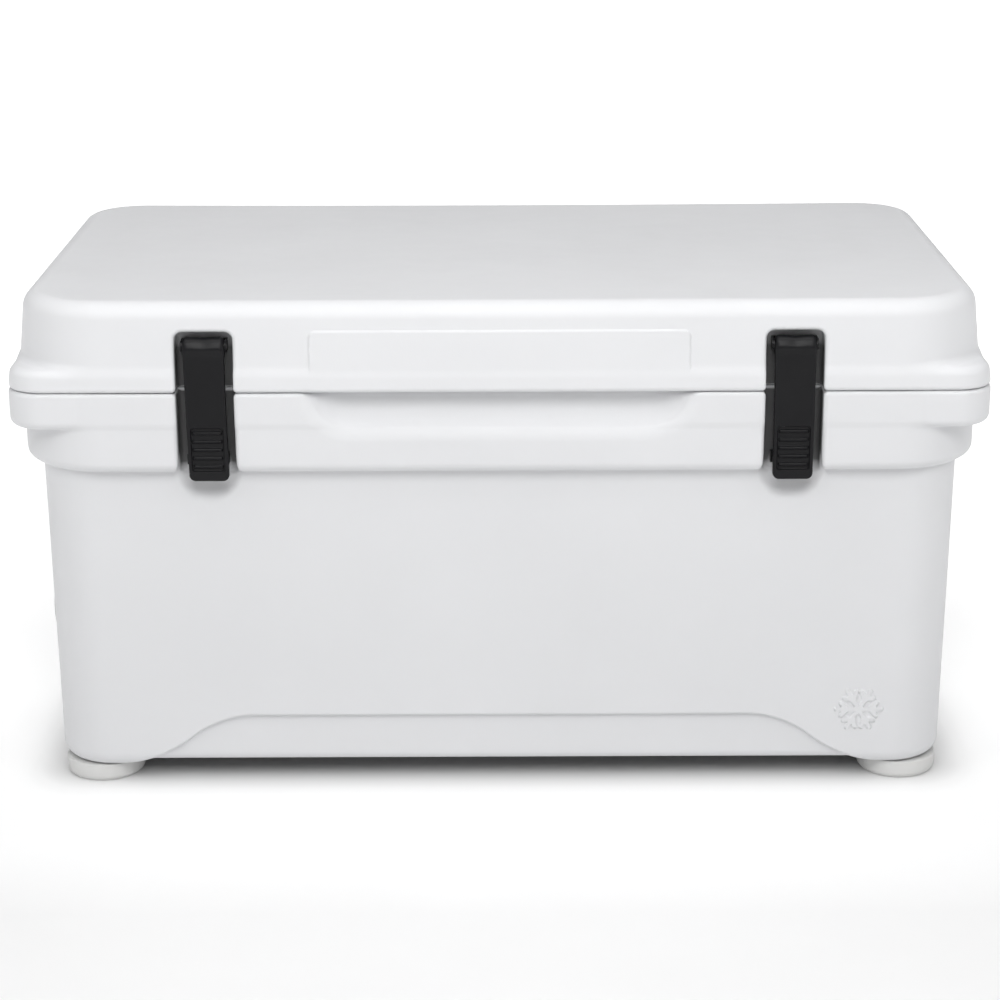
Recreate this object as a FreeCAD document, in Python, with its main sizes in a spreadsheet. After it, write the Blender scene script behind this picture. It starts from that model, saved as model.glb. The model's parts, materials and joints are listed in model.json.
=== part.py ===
import FreeCAD, Part
import Sketcher
import math
import os
import re

# Insulated cooler chest with a hinged lid, two snap latches and a drain.
#
# Frame: +X to the right seen from the front, +Y to the back, +Z up.
# The origin is on the ground, under the middle of the chest.
# The lid seam and the hinge axis lie at the height "seam".

doc = FreeCAD.newDocument("cooler_chest")

# ---------------------------------------------------------------- driving dimensions, mm
SIZES = {
    # outer envelope
    "half_width": 355.5,          # lip and lid flange, side to side
    "half_depth": 200.0,          # front of the collar band
    "seam": 309.0,
    "rim_z": 308.5,               # top of the body; the gasket bridges the gap to the lid
    "lid_z": 309.5,               # underside of the lid
    "lid_top": 373.5,
    "skin": 4.0,                  # wall of the rotomoulded shells
    # chest body below the collar band
    "base_z": 14.0,
    "base_half_x": 334.6,
    "base_half_y": 187.0,
    "base_round": 40.0,
    "base_edge": 11.0,
    "waist_z": 256.0,
    "wall_taper": 0.65,           # degrees
    # collar band and side lip
    "band_z": 249.5,
    "band_half_x": 351.0,
    "band_round": 66.0,
    "band_edge": 7.0,
    "lip_z": 281.5,
    "lip_round": 27.0,
    "lip_edge": 6.0,
    "rim_edge": 3.0,
    # inner tub
    "floor_z": 70.0,
    "floor_half_x": 287.0,
    "floor_half_y": 137.0,
    "floor_edge": 20.0,
    "floor_round": 38.0,
    "tub_taper": 2.2,             # degrees
    # lid
    "lid_half_x": 354.5,
    "lid_round": 70.0,
    "lid_taper": 6.0,             # degrees
    "crown_edge": 12.0,
    "flange_z": 325.5,
    "lid_foam_z": 320.0,
    "plug_z": 298.0,
    "plug_half_x": 288.0,
    "plug_half_y": 138.0,
    "plug_round": 36.0,
    "plug_taper": 3.0,            # degrees
    "badge_half_x": 136.0,
    "badge_low_z": 321.0,
    "badge_high_z": 353.5,
    "badge_proud": 0.8,
    # gasket
    "gasket_half_x": 310.0,
    "gasket_half_y": 160.0,
    "gasket_round": 54.0,
    "gasket_width": 11.0,
    "gasket_depth": 5.0,
    "gasket_clear": 0.25,
    # grip scoop in the middle of the band
    "scoop_half_x": 139.5,
    "scoop_z": 279.3,
    "scoop_depth": 14.0,
    "scoop_round": 35.0,
    "scoop_slope": 45.0,          # degrees
    # carrying pockets under the band at both sides
    "pocket_half_y": 66.0,
    "pocket_low_z": 208.0,
    "pocket_high_z": 288.0,
    "pocket_back_x": 320.0,
    "pocket_lip_x": 339.0,
    "pocket_rise": 28.0,          # of the pocket's sloping floor
    # relief panel low on the front
    "panel_half_x": 213.5,
    "panel_z": 56.0,
    "panel_foot_half_x": 256.0,
    "panel_foot_z": 15.0,
    "panel_y": 183.0,
    "panel_round": 15.0,
    # feet
    "foot_x": 303.0,
    "foot_y": 153.0,
    "foot_rad": 29.5,
    "foot_edge": 5.0,
    "foot_sink_rad": 7.0,
    "foot_sink": 6.0,
    "foot_hole_rad": 3.3,
    # hinge
    "hinge_y": 200.0,
    "barrel_rad": 7.0,
    "barrel_clear": 0.6,
    "rod_rad": 3.0,
    "rod_fit": 0.05,
    "bush_rad": 4.5,
    "bush_length": 25.0,
    "hinge_half_x": 300.0,
    "knuckle_outer_x": 180.0,
    "knuckle_inner_x": 60.0,
    "knuckle_gap": 0.5,
    "end_cap_thick": 2.5,
    "end_cap_spigot": 6.0,
    "stop_reach": 9.5,
    "web_root": 4.0,              # how far the barrels' webs reach into the walls
    "web_tall": 25.0,
    "web_edge": 9.0,
    # latches
    "latch_x": 211.0,
    "recess_half_x": 20.7,
    "recess_y": 182.5,
    "recess_top_z": 352.8,
    "recess_round": 6.0,
    "recess_low_z": 247.0,
    "bowl_half_x": 22.5,
    "bowl_z": 250.0,
    "bowl_drop": 23.0,
    "bowl_y": 192.0,
    "bowl_depth": 11.0,
    "latch_y": 192.0,
    "latch_z": 342.0,
    "lever_half_x": 14.7,
    "lever_rad": 7.0,
    "lever_tip_z": 244.2,
    "lever_lean": 3.5,
    "tip_edge": 4.0,
    "blade_back": 4.0,
    "pin_rad": 2.0,
    "ear_rad": 4.0,
    "ear_thick": 1.5,
    "ear_gap": 0.3,
    "mount_thick": 2.5,
    "mount_low_z": 323.5,
    "mount_high_z": 346.0,
    "grip_low_z": 251.5,
    "grip_high_z": 283.9,
    "grip_half_x": 11.7,
    "grip_depth": 1.6,
    "rib_rad": 1.3,
    "rib_pitch": 6.2,
    "rib_sunk": 0.2,
    "rib_low_z": 255.3,
    "catch_half_x": 15.0,
    "plate_half_x": 12.5,
    "plate_edge": 6.0,            # from a catch plate's screws to its top
    "catch_nose": 2.0,
    "catch_low_z": 253.3,
    "catch_high_z": 261.3,
    "catch_reach": 8.5,
    "claw_half_x": 9.0,
    "claw_rise": 7.0,
    "claw_clear": 0.4,
    # small screws and moulded-in inserts
    "screw_rad": 1.5,
    "screw_spread": 9.0,
    "catch_screw_z": 267.2,
    "mount_screw_z": 329.0,
    "screw_head_rad": 3.0,
    "screw_head": 1.6,
    "screw_length": 10.0,
    "insert_rad": 3.0,
    "insert_length": 11.0,
    "foot_screw_length": 24.0,
    "foot_insert_rad": 5.0,
    "foot_insert_length": 18.0,
    # drain
    "drain_y": 0.0,
    "drain_z": 82.0,
    "drain_wall_x": 337.2,
    "drain_bore_rad": 11.0,
    "drain_tube_rad": 14.0,
    "drain_flange_rad": 25.0,
    "drain_flange_thick": 3.0,
    "drain_gasket_thick": 1.5,
    "drain_spout_x": 356.0,
    "drain_inner_x": 286.6,
    "cap_rad": 24.0,
    "cap_outer_x": 361.5,
    "cap_inner_x": 342.3,
    "cap_bore_rad": 15.4,
    "cap_rib_rad": 1.25,
    "cap_edge": 2.5,
    "seal_thick": 2.0,
    "seal_play": 0.1,
    # foam filling ports
    "port_rad": 14.0,
    "port_x": 170.0,
}
BODY_KNUCKLES = (
    ("-hinge_half_x", "-knuckle_outer_x"),
    ("-knuckle_inner_x", "knuckle_inner_x"),
    ("knuckle_outer_x", "hinge_half_x"),
)
LID_KNUCKLES = (
    ("-knuckle_outer_x + knuckle_gap", "-knuckle_inner_x - knuckle_gap"),
    ("knuckle_inner_x + knuckle_gap", "knuckle_outer_x - knuckle_gap"),
)
SIDES = (("left", "-"), ("right", ""))
FOOT_PLACES = (
    ("foot_front_left", "-foot_x", "-foot_y"),
    ("foot_front_right", "foot_x", "-foot_y"),
    ("foot_rear_left", "-foot_x", "foot_y"),
    ("foot_rear_right", "foot_x", "foot_y"),
)
CAP_RIBS = 40
GRIP_RIBS = 5
LID_STOP_ANGLE = 95.5             # degrees, where the lid web meets the back of the body

sheet = doc.addObject("Spreadsheet::Sheet", "sizes")
for row, (alias, value) in enumerate(SIZES.items(), start=1):
    sheet.set(f"A{row}", alias)
    sheet.set(f"B{row}", str(value))
    sheet.setAlias(f"B{row}", alias)
doc.recompute()

WORD = re.compile(r"[a-z]\w*")
NEAR = 0.01                       # two lengths closer than this are the same
parts = {}


# ---------------------------------------------------------------- helpers
def formula(text):
    """An expression in the document's own language from one written in aliases."""
    return WORD.sub(lambda found: "sizes." + found.group(), str(text))


def number(text):
    """The value of the same expression, read from the sheet."""
    filled = WORD.sub(lambda found: f"({getattr(sheet, found.group())})", str(text))
    return FreeCAD.Units.Quantity(filled).Value


def bind(thing, **properties):
    for name, text in properties.items():
        thing.setExpression(name.replace("__", "."), formula(text))


def place(thing, across=0, along=0, up=0):
    """Binds a primitive's position to the sheet."""
    bind(thing, Placement__Base__x=across, Placement__Base__y=along, Placement__Base__z=up)
    return thing


def box(name, x_low, x_high, y_low, y_high, z_low, z_high):
    thing = doc.addObject("Part::Box", name)
    bind(
        thing,
        Length=f"{x_high} - ({x_low})",
        Width=f"{y_high} - ({y_low})",
        Height=f"{z_high} - ({z_low})",
    )
    return place(thing, x_low, y_low, z_low)


def cylinder(name, radius, start, end, across=0, along=0, up=0, axis="z"):
    """A cylinder along an axis, from start to end on that axis."""
    thing = doc.addObject("Part::Cylinder", name)
    bind(thing, Radius=radius, Height=f"{end} - ({start})")
    if axis == "x":
        thing.Placement.Rotation = FreeCAD.Rotation(FreeCAD.Vector(0, 1, 0), 90)
        return place(thing, start, along, up)
    if axis == "y":
        thing.Placement.Rotation = FreeCAD.Rotation(FreeCAD.Vector(1, 0, 0), -90)
        return place(thing, across, start, up)
    return place(thing, across, along, start)


def fuse(name, *things):
    if len(things) == 1:
        return things[0]
    thing = doc.addObject("Part::MultiFuse", name)
    thing.Shapes = list(things)
    return thing


def cut(name, base, *tools):
    thing = doc.addObject("Part::Cut", name)
    thing.Base = base
    thing.Tool = fuse(name + "_tools", *tools)
    return thing


def group(name, *things):
    """Several separate solids that make one sub-part."""
    thing = doc.addObject("Part::Compound", name)
    thing.Links = list(things)
    return thing


def rounded(name, base, radius, wanted):
    """Rounds the edges of a shape that a test picks."""
    doc.recompute()
    thing = doc.addObject("Part::Fillet", name)
    thing.Base = base
    size = number(radius)
    thing.Edges = [(n, size, size) for n, edge in enumerate(base.Shape.Edges, 1) if wanted(edge)]
    return thing


def at_height(level):
    """A test for edges that lie wholly at one height."""
    return lambda edge: max(abs(edge.BoundBox.ZMin - level), abs(edge.BoundBox.ZMax - level)) < NEAR


def origin_plane(body, role):
    return next(item for item in body.Origin.OriginFeatures if item.Role == role)


def sketch_on(body, name, role, offset="0"):
    sketch = body.newObject("Sketcher::SketchObject", name)
    sketch.AttachmentSupport = [(origin_plane(body, role), "")]
    sketch.MapMode = "FlatFace"
    bind(sketch, AttachmentOffset__Base__z=offset)
    return sketch


def constrain(sketch, label, text, *where):
    kind, rest = where[0], where[1:]
    index = sketch.addConstraint(Sketcher.Constraint(kind, *rest, number(text)))
    sketch.renameConstraint(index, label)
    sketch.setExpression("Constraints." + label, formula(text))


def draw_rounded_rectangle(sketch, half_u, half_v, radius, middle_v="0"):
    """A rectangle with round corners, centred on the sketch's v axis."""
    u, v, r, c = number(half_u), number(half_v), number(radius), number(middle_v)
    corners = (
        (u - r, c + v - r, 0),
        (r - u, c + v - r, 90),
        (r - u, c + r - v, 180),
        (u - r, c + r - v, 270),
    )
    for corner_u, corner_v, start in corners:
        circle = Part.Circle(FreeCAD.Vector(corner_u, corner_v, 0), FreeCAD.Vector(0, 0, 1), r)
        arc = Part.ArcOfCircle(circle, math.radians(start), math.radians(start + 90))
        sketch.addGeometry(arc)
    for first, second in ((0, 1), (1, 2), (2, 3), (3, 0)):
        line = Part.LineSegment(sketch.getPoint(first, 2), sketch.getPoint(second, 1))
        index = sketch.addGeometry(line)
        sketch.addConstraint(Sketcher.Constraint("Tangent", first, 2, index, 1))
        sketch.addConstraint(Sketcher.Constraint("Tangent", index, 2, second, 1))
    for index in (4, 6):
        sketch.addConstraint(Sketcher.Constraint("Horizontal", index))
    for index in (5, 7):
        sketch.addConstraint(Sketcher.Constraint("Vertical", index))
    for index in (1, 2, 3):
        sketch.addConstraint(Sketcher.Constraint("Equal", 0, index))
    constrain(sketch, "corner", radius, "Radius", 0)
    constrain(sketch, "right", half_u, "DistanceX", -1, 1, 7, 1)
    constrain(sketch, "width", f"2 * ({half_u})", "DistanceX", 5, 1, 7, 1)
    constrain(sketch, "top", f"{middle_v} + {half_v}", "DistanceY", -1, 1, 4, 1)
    constrain(sketch, "tall", f"2 * ({half_v})", "DistanceY", 6, 1, 4, 1)


def block(name, low, high, half_u, half_v, corner, taper="0", middle_v="0", role="XY_Plane"):
    """A padded rounded rectangle between two offsets, which widens outwards by a taper in degrees."""
    body = doc.addObject("PartDesign::Body", name)
    sketch = sketch_on(body, name + "_section", role, low)
    draw_rounded_rectangle(sketch, half_u, half_v, corner, middle_v)
    pad = body.newObject("PartDesign::Pad", name + "_pad")
    pad.Profile = sketch
    bind(pad, Length=f"({high}) - ({low})")
    if taper != "0":
        bind(pad, TaperAngle=taper)
    doc.recompute()
    return body


def soften(body, radius, level):
    """Rounds a block's edges at one height inside its own body."""
    doc.recompute()
    base = body.Tip
    test = at_height(number(level))
    edges = [f"Edge{n}" for n, edge in enumerate(base.Shape.Edges, 1) if test(edge)]
    fillet = body.newObject("PartDesign::Fillet", f"{body.Name}_round_{len(body.Group)}")
    fillet.Base = (base, edges)
    bind(fillet, Radius=radius)
    doc.recompute()
    return body


def prism(name, role, start, length, points):
    """A polygon in one of the origin planes, padded along the plane's normal."""
    body = doc.addObject("PartDesign::Body", name)
    sketch = sketch_on(body, name + "_outline", role, start)
    spots = [FreeCAD.Vector(number(u), number(v), 0) for u, v in points]
    for n, spot in enumerate(spots):
        sketch.addGeometry(Part.LineSegment(spot, spots[(n + 1) % len(spots)]))
    for n, (u, v) in enumerate(points):
        after = (n + 1) % len(points)
        sketch.addConstraint(Sketcher.Constraint("Coincident", n, 2, after, 1))
        constrain(sketch, f"u{n}", u, "DistanceX", -1, 1, n, 1)
        constrain(sketch, f"v{n}", v, "DistanceY", -1, 1, n, 1)
    pad = body.newObject("PartDesign::Pad", name + "_pad")
    pad.Profile = sketch
    bind(pad, Length=length)
    doc.recompute()
    return body


def part(name, thing):
    """Registers a finished sub-part under the name that its file takes."""
    thing.Label = name
    parts[name] = thing
    return thing


def mirrored(sign, near, far):
    """The low and high X of a span that lies near..far from the middle, on one side."""
    return (f"-({far})", f"-({near})") if sign else (near, far)


def lid_front(level):
    """Half depth of the lid's sloping front at a height."""
    return f"half_depth - ({level} - lid_z) * {math.tan(math.radians(number('lid_taper'))):.5f}"


def ring(name, radius, bore, start, end, across=0, along=0, up=0, axis="z"):
    """A plain round sleeve."""
    outside = cylinder(name + "_outside", radius, start, end, across, along, up, axis)
    inside = cylinder(name + "_inside", bore, f"{start} - 1", f"{end} + 1", across, along, up, axis)
    return cut(name, outside, inside)


def screw(name, shank, head, start, middle, end, across=0, along=0, up=0, axis="z"):
    """A plain screw: its head from start to middle, its shank on to end."""
    top = cylinder(name + "_head", head, start, middle, across, along, up, axis)
    stem = cylinder(name + "_shank", shank, middle, end, across, along, up, axis)
    return fuse(name, top, stem)


def hinge_clearance(name, start, end):
    return cylinder(name, "barrel_rad + barrel_clear", start, end, along="hinge_y", up="seam", axis="x")


# ---------------------------------------------------------------- cutting tools that two shells share
def recess_tool(name, sign, low, high):
    """The upright latch slot, cut into the front from recess_y outwards."""
    middle = f"(({high}) + ({low})) / 2"
    half = f"(({high}) - ({low})) / 2"
    tool = block(name, "recess_y", "half_depth + 20", "recess_half_x", half, "recess_round",
                 middle_v=middle, role="XZ_Plane")
    return place(tool, f"{sign}(latch_x)")


def recess_clearance(name, sign, low, high):
    """What the foam leaves free around a latch slot."""
    left, right = mirrored(sign, "latch_x - recess_half_x - skin", "latch_x + recess_half_x + skin")
    return box(name, left, right, "-half_depth - 10", "-recess_y + skin", low, high)


def front_screw_places(height):
    """Two screw places beside each latch's middle, as (name, x, height)."""
    return [
        (f"{side}_{n}", f"{sign}(latch_x) {offset} screw_spread", height)
        for side, sign in SIDES
        for n, offset in enumerate("-+")
    ]


CATCH_SCREWS = front_screw_places("catch_screw_z")
MOUNT_SCREWS = front_screw_places("mount_screw_z")


def front_inserts(label, places):
    """Threaded sleeves moulded into the back of the latch slots."""
    sleeves = [
        ring(f"{label}_{spot}", "insert_rad", "screw_rad + rod_fit", "-recess_y", "-recess_y + insert_length",
             across, 0, up, "y")
        for spot, across, up in places
    ]
    return part(label, group(label, *sleeves))


def front_insert_holes(label, places, radius, deeper):
    return [
        cylinder(f"{label}_{spot}", radius, "-recess_y - 1", f"-recess_y + insert_length + {deeper}",
                 across, 0, up, "y")
        for spot, across, up in places
    ]


def front_screws(label, places):
    """Screws whose heads sit flush in a plate on the back of the slot."""
    made = [
        screw(f"{label}_{spot}", "screw_rad", "screw_head_rad", "-recess_y - mount_thick",
              "-recess_y - mount_thick + screw_head", "-recess_y + screw_length", across, 0, up, "y")
        for spot, across, up in places
    ]
    return part(label, group(label, *made))


def front_screw_sinks(label, places):
    """The holes that those screws need in their plate."""
    face = "-recess_y - mount_thick"
    return [
        screw(f"{label}_{spot}", "screw_rad + rod_fit", "screw_head_rad + rod_fit", f"{face} - 1",
              f"{face} + screw_head", "-recess_y + 1", across, 0, up, "y")
        for spot, across, up in places
    ]


# ---------------------------------------------------------------- chest body
def pocket_tool(name, sign, spare="0"):
    """The finger pocket under a side lip, larger all round by a wall's thickness for the foam."""
    points = [
        ("pocket_lip_x", f"pocket_low_z - 2 * {spare}"),
        (f"pocket_back_x - {spare}", f"pocket_low_z + pocket_rise - 2 * {spare}"),
        (f"pocket_back_x - {spare}", f"pocket_high_z + {spare}"),
        (f"pocket_lip_x + {spare}", f"pocket_high_z + {spare}"),
        (f"pocket_lip_x + {spare}", "band_z - 1"),
        ("half_width + 1", "band_z - 1"),
        ("half_width + 1", f"pocket_low_z - 2 * {spare}"),
    ]
    points = [(f"{sign}({across})", up) for across, up in points]
    return prism(name, "XZ_Plane", f"-(pocket_half_y + {spare})", f"2 * (pocket_half_y + {spare})", points)


def chest_foam():
    """Foam core between the outer wall and the tub; it fills the collar band and the side lips too."""
    low = block("foam_low", "base_z + skin", "waist_z", "base_half_x - skin", "base_half_y - skin",
                "base_round - skin", "wall_taper")
    low = soften(low, "base_edge - skin", "base_z + skin")
    high = block("foam_high", "band_z + skin", "rim_z - skin", "band_half_x - skin", "half_depth - skin",
                 "band_round - skin")
    lip = block("foam_lip", "lip_z + skin", "rim_z - skin", "half_width - skin", "half_depth - skin",
                "lip_round - skin")
    tub = block("foam_tub", "floor_z - skin", "rim_z", "floor_half_x + skin", "floor_half_y + skin",
                "floor_round + skin", "tub_taper")
    tub = soften(tub, "floor_edge + skin", "floor_z - skin")
    away = [tub]
    away.append(box("foam_off_scoop", "-scoop_half_x - skin", "scoop_half_x + skin",
                    "-half_depth - 10", "-half_depth + scoop_depth + skin", "scoop_z - skin", "rim_z + 10"))
    away.append(box("foam_off_panel", "-panel_foot_half_x - skin", "panel_foot_half_x + skin",
                    "-half_depth", "-panel_y + skin", "0", "panel_z + skin"))
    away.append(box("foam_off_hinge", "-hinge_half_x - 10", "hinge_half_x + 10",
                    "hinge_y - 2 * barrel_rad", "hinge_y + 10", "seam - 3 * barrel_rad", "rim_z + 10"))
    for side, sign in SIDES:
        low_end = "bowl_z - bowl_drop - skin"
        away.append(recess_clearance(f"foam_off_latch_{side}", sign, low_end, "rim_z + 10"))
        away.append(pocket_tool("foam_off_pocket_" + side, sign, "skin"))
    away.append(cylinder("foam_off_drain", "drain_tube_rad + skin", "-half_width", "-drain_inner_x + 30",
                         along="drain_y", up="drain_z", axis="x"))
    for name, across, along in FOOT_PLACES:
        away.append(cylinder("foam_off_" + name, "foot_insert_rad + skin", "base_z",
                             "base_z + foot_insert_length + 2 * skin", across, along))
    away += front_insert_holes("foam_off_catch", CATCH_SCREWS, "insert_rad + skin", "skin")
    return part("body_foam", cut("body_foam", fuse("foam_blank", low, high, lip), *away))


def chest_shell(foam):
    """One-piece double-walled body: outside, band, side lips, tub and hinge barrels."""
    low = block("shell_low", "base_z", "waist_z", "base_half_x", "base_half_y", "base_round", "wall_taper")
    low = soften(low, "base_edge", "base_z")
    band = block("band", "band_z", "lip_z + 2 * lip_edge", "band_half_x", "half_depth", "band_round")
    band = soften(band, "band_edge", "band_z")
    lip = block("lip", "lip_z", "rim_z", "half_width", "half_depth", "lip_round")
    lip = soften(soften(lip, "lip_edge", "lip_z"), "rim_edge", "rim_z")
    seat = cylinder("drain_seat", "drain_flange_rad + 2", "-drain_wall_x", "-drain_wall_x + 2 * skin",
                    along="drain_y", up="drain_z", axis="x")
    blank = fuse("shell_blank", low, band, lip, seat)

    tub = block("tub", "floor_z", "rim_z + 1", "floor_half_x", "floor_half_y", "floor_round", "tub_taper")
    tub = soften(tub, "floor_edge", "floor_z")
    above = "lid_z + 2 * scoop_depth"
    low_edge = "(scoop_z + scoop_depth)"
    scoop = block("scoop", "half_depth - scoop_depth", "half_depth + 6", "scoop_half_x - scoop_depth",
                  f"({above} - {low_edge}) / 2", "scoop_round - scoop_depth", "scoop_slope",
                  f"({above} + {low_edge}) / 2", "XZ_Plane")
    tools = [tub, scoop]
    panel_blank = prism("panel_blank", "XZ_Plane", "panel_y", "20", (
        ("-panel_half_x", "panel_z"), ("-panel_foot_half_x", "panel_foot_z"), ("-panel_foot_half_x", "0"),
        ("panel_foot_half_x", "0"), ("panel_foot_half_x", "panel_foot_z"), ("panel_half_x", "panel_z"),
    ))
    on_top = at_height(number("panel_z"))
    tools.append(rounded("panel", panel_blank, "panel_round",
                         lambda edge: on_top(edge) and edge.BoundBox.XLength < NEAR))
    for side, sign in SIDES:
        tools.append(recess_tool("recess_" + side, sign, "recess_low_z", "rim_z + 20"))
        bowl = doc.addObject("Part::Ellipsoid", "bowl_" + side)
        bind(bowl, Radius1="bowl_drop", Radius2="bowl_half_x", Radius3="bowl_depth")
        tools.append(place(bowl, f"{sign}(latch_x)", "-bowl_y", "bowl_z"))
        tools.append(pocket_tool("pocket_" + side, sign))
    for n, (start, end) in enumerate(LID_KNUCKLES):
        start, end = f"{start} - knuckle_gap", f"{end} + knuckle_gap"
        tools.append(hinge_clearance(f"body_hinge_slot_{n}", start, end))
    for side, sign in SIDES:
        left, right = mirrored(sign, "hinge_half_x", "hinge_half_x + end_cap_thick + 2")
        tools.append(hinge_clearance("body_cap_slot_" + side, left, right))
    tools.append(cylinder("sump", "drain_tube_rad + 1", "-drain_inner_x - 1", "-drain_inner_x + 24",
                          along="drain_y", up="drain_z", axis="x"))
    opened = cut("shell_opened", blank, *tools)

    knuckles = []
    for n, (start, end) in enumerate(BODY_KNUCKLES):
        knuckles.append(cylinder(f"body_barrel_{n}", "barrel_rad", start, end,
                                 along="hinge_y", up="seam", axis="x"))
        knuckles.append(prism(f"body_web_{n}", "YZ_Plane", start, f"{end} - ({start})", (
            ("hinge_y - web_root", "seam"), ("hinge_y - web_root", "seam - web_tall"),
            ("hinge_y", "seam - web_tall"), ("hinge_y + barrel_rad", "seam - web_edge"),
            ("hinge_y + barrel_rad", "seam"),
        )))
    whole = fuse("shell_whole", opened, *knuckles)

    holes = [foam]
    holes.append(cylinder("rod_bore", "rod_rad + rod_fit", "-hinge_half_x - 1", "hinge_half_x + 1",
                          along="hinge_y", up="seam", axis="x"))
    holes.append(cylinder("drain_bore", "drain_tube_rad + rod_fit", "-half_width", "-drain_inner_x + 5",
                          along="drain_y", up="drain_z", axis="x"))
    for name, across, along in FOOT_PLACES:
        holes.append(cylinder("insert_hole_" + name, "foot_insert_rad", "base_z - 1",
                              "base_z + foot_insert_length", across, along))
    holes += front_insert_holes("catch_hole", CATCH_SCREWS, "insert_rad", "0")
    for side, sign in SIDES:
        holes.append(cylinder("base_port_hole_" + side, "port_rad", "base_z - 1", "base_z + skin",
                              f"{sign}(port_x)"))
    return part("body_shell", cut("body_shell", whole, *holes))


def base_ports():
    """Plugs that close the two foam filling ports under the body."""
    plugs = [
        cylinder("base_port_" + side, "port_rad - rod_fit", "base_z", "base_z + skin", f"{sign}(port_x)")
        for side, sign in SIDES
    ]
    return part("base_fill_plugs", group("base_fill_plugs", *plugs))


def feet():
    """Four round feet, each held by one screw into a moulded-in insert."""
    screws, inserts = [], []
    for name, across, along in FOOT_PLACES:
        puck = cylinder(name + "_puck", "foot_rad", "0", "base_z", across, along)
        pad = rounded(name + "_pad", puck, "foot_edge", at_height(0.0))
        sink = cylinder(name + "_sink", "foot_sink_rad", "-1", "foot_sink", across, along)
        hole = cylinder(name + "_hole", "foot_hole_rad", "0", "base_z + 1", across, along)
        part(name, cut(name, pad, sink, hole))
        screws.append(screw("screw_" + name, "foot_hole_rad - 0.3", "foot_sink_rad - 1", "foot_sink - 3.5",
                            "foot_sink", "foot_sink + foot_screw_length", across, along))
        inserts.append(ring("insert_" + name, "foot_insert_rad", "foot_hole_rad - 0.25", "base_z",
                            "base_z + foot_insert_length", across, along))
    part("foot_screws", group("foot_screws", *screws))
    part("foot_inserts", group("foot_inserts", *inserts))


def catches():
    """Catch plates in the body's latch slots, with a bar for the claw to snap under."""
    for side, sign in SIDES:
        middle = f"{sign}(latch_x)"
        plate = box("catch_plate_" + side, f"{middle} - plate_half_x", f"{middle} + plate_half_x",
                    "-recess_y - mount_thick", "-recess_y", "catch_low_z - 3", "catch_screw_z + plate_edge")
        bar = box("catch_bar_" + side, f"{middle} - catch_half_x", f"{middle} + catch_half_x",
                  "-recess_y - catch_reach", "-recess_y - 1", "catch_low_z", "catch_high_z")
        front = -number("recess_y + catch_reach")
        bar = rounded("catch_nose_" + side, bar, "catch_nose",
                      lambda edge: abs(edge.BoundBox.YMax - front) < NEAR and edge.BoundBox.XLength > 1)
        places = [spot for spot in CATCH_SCREWS if spot[0].startswith(side)]
        sinks = front_screw_sinks("catch_sink", places)
        part("catch_" + side, cut("catch_" + side, fuse("catch_blank_" + side, plate, bar), *sinks))
    front_screws("catch_screws", CATCH_SCREWS)
    front_inserts("catch_inserts", CATCH_SCREWS)


def hinge():
    """Full-length rod with a cap at each end, and plain bushes in the lid's barrels."""
    reach = "hinge_half_x - end_cap_spigot"
    part("hinge_rod", cylinder("hinge_rod", "rod_rad", f"-({reach})", reach,
                               along="hinge_y", up="seam", axis="x"))
    caps = []
    for side, sign in SIDES:
        left, right = mirrored(sign, "hinge_half_x", "hinge_half_x + end_cap_thick")
        disc = cylinder("end_disc_" + side, "barrel_rad - 0.5", left, right,
                        along="hinge_y", up="seam", axis="x")
        left, right = mirrored(sign, f"{reach} + 0.2", "hinge_half_x")
        spigot = cylinder("end_spigot_" + side, "rod_rad", left, right, along="hinge_y", up="seam", axis="x")
        caps.append(fuse("end_cap_" + side, disc, spigot))
    part("hinge_end_caps", group("hinge_end_caps", *caps))
    bushes = []
    for n, (start, end) in enumerate(LID_KNUCKLES):
        for low, high in ((start, f"{start} + bush_length"), (f"{end} - bush_length", end)):
            bushes.append(ring(f"bush_{len(bushes)}", "bush_rad", "rod_rad + rod_fit", low, high,
                               along="hinge_y", up="seam", axis="x"))
    part("hinge_bushes", group("hinge_bushes", *bushes))


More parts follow.
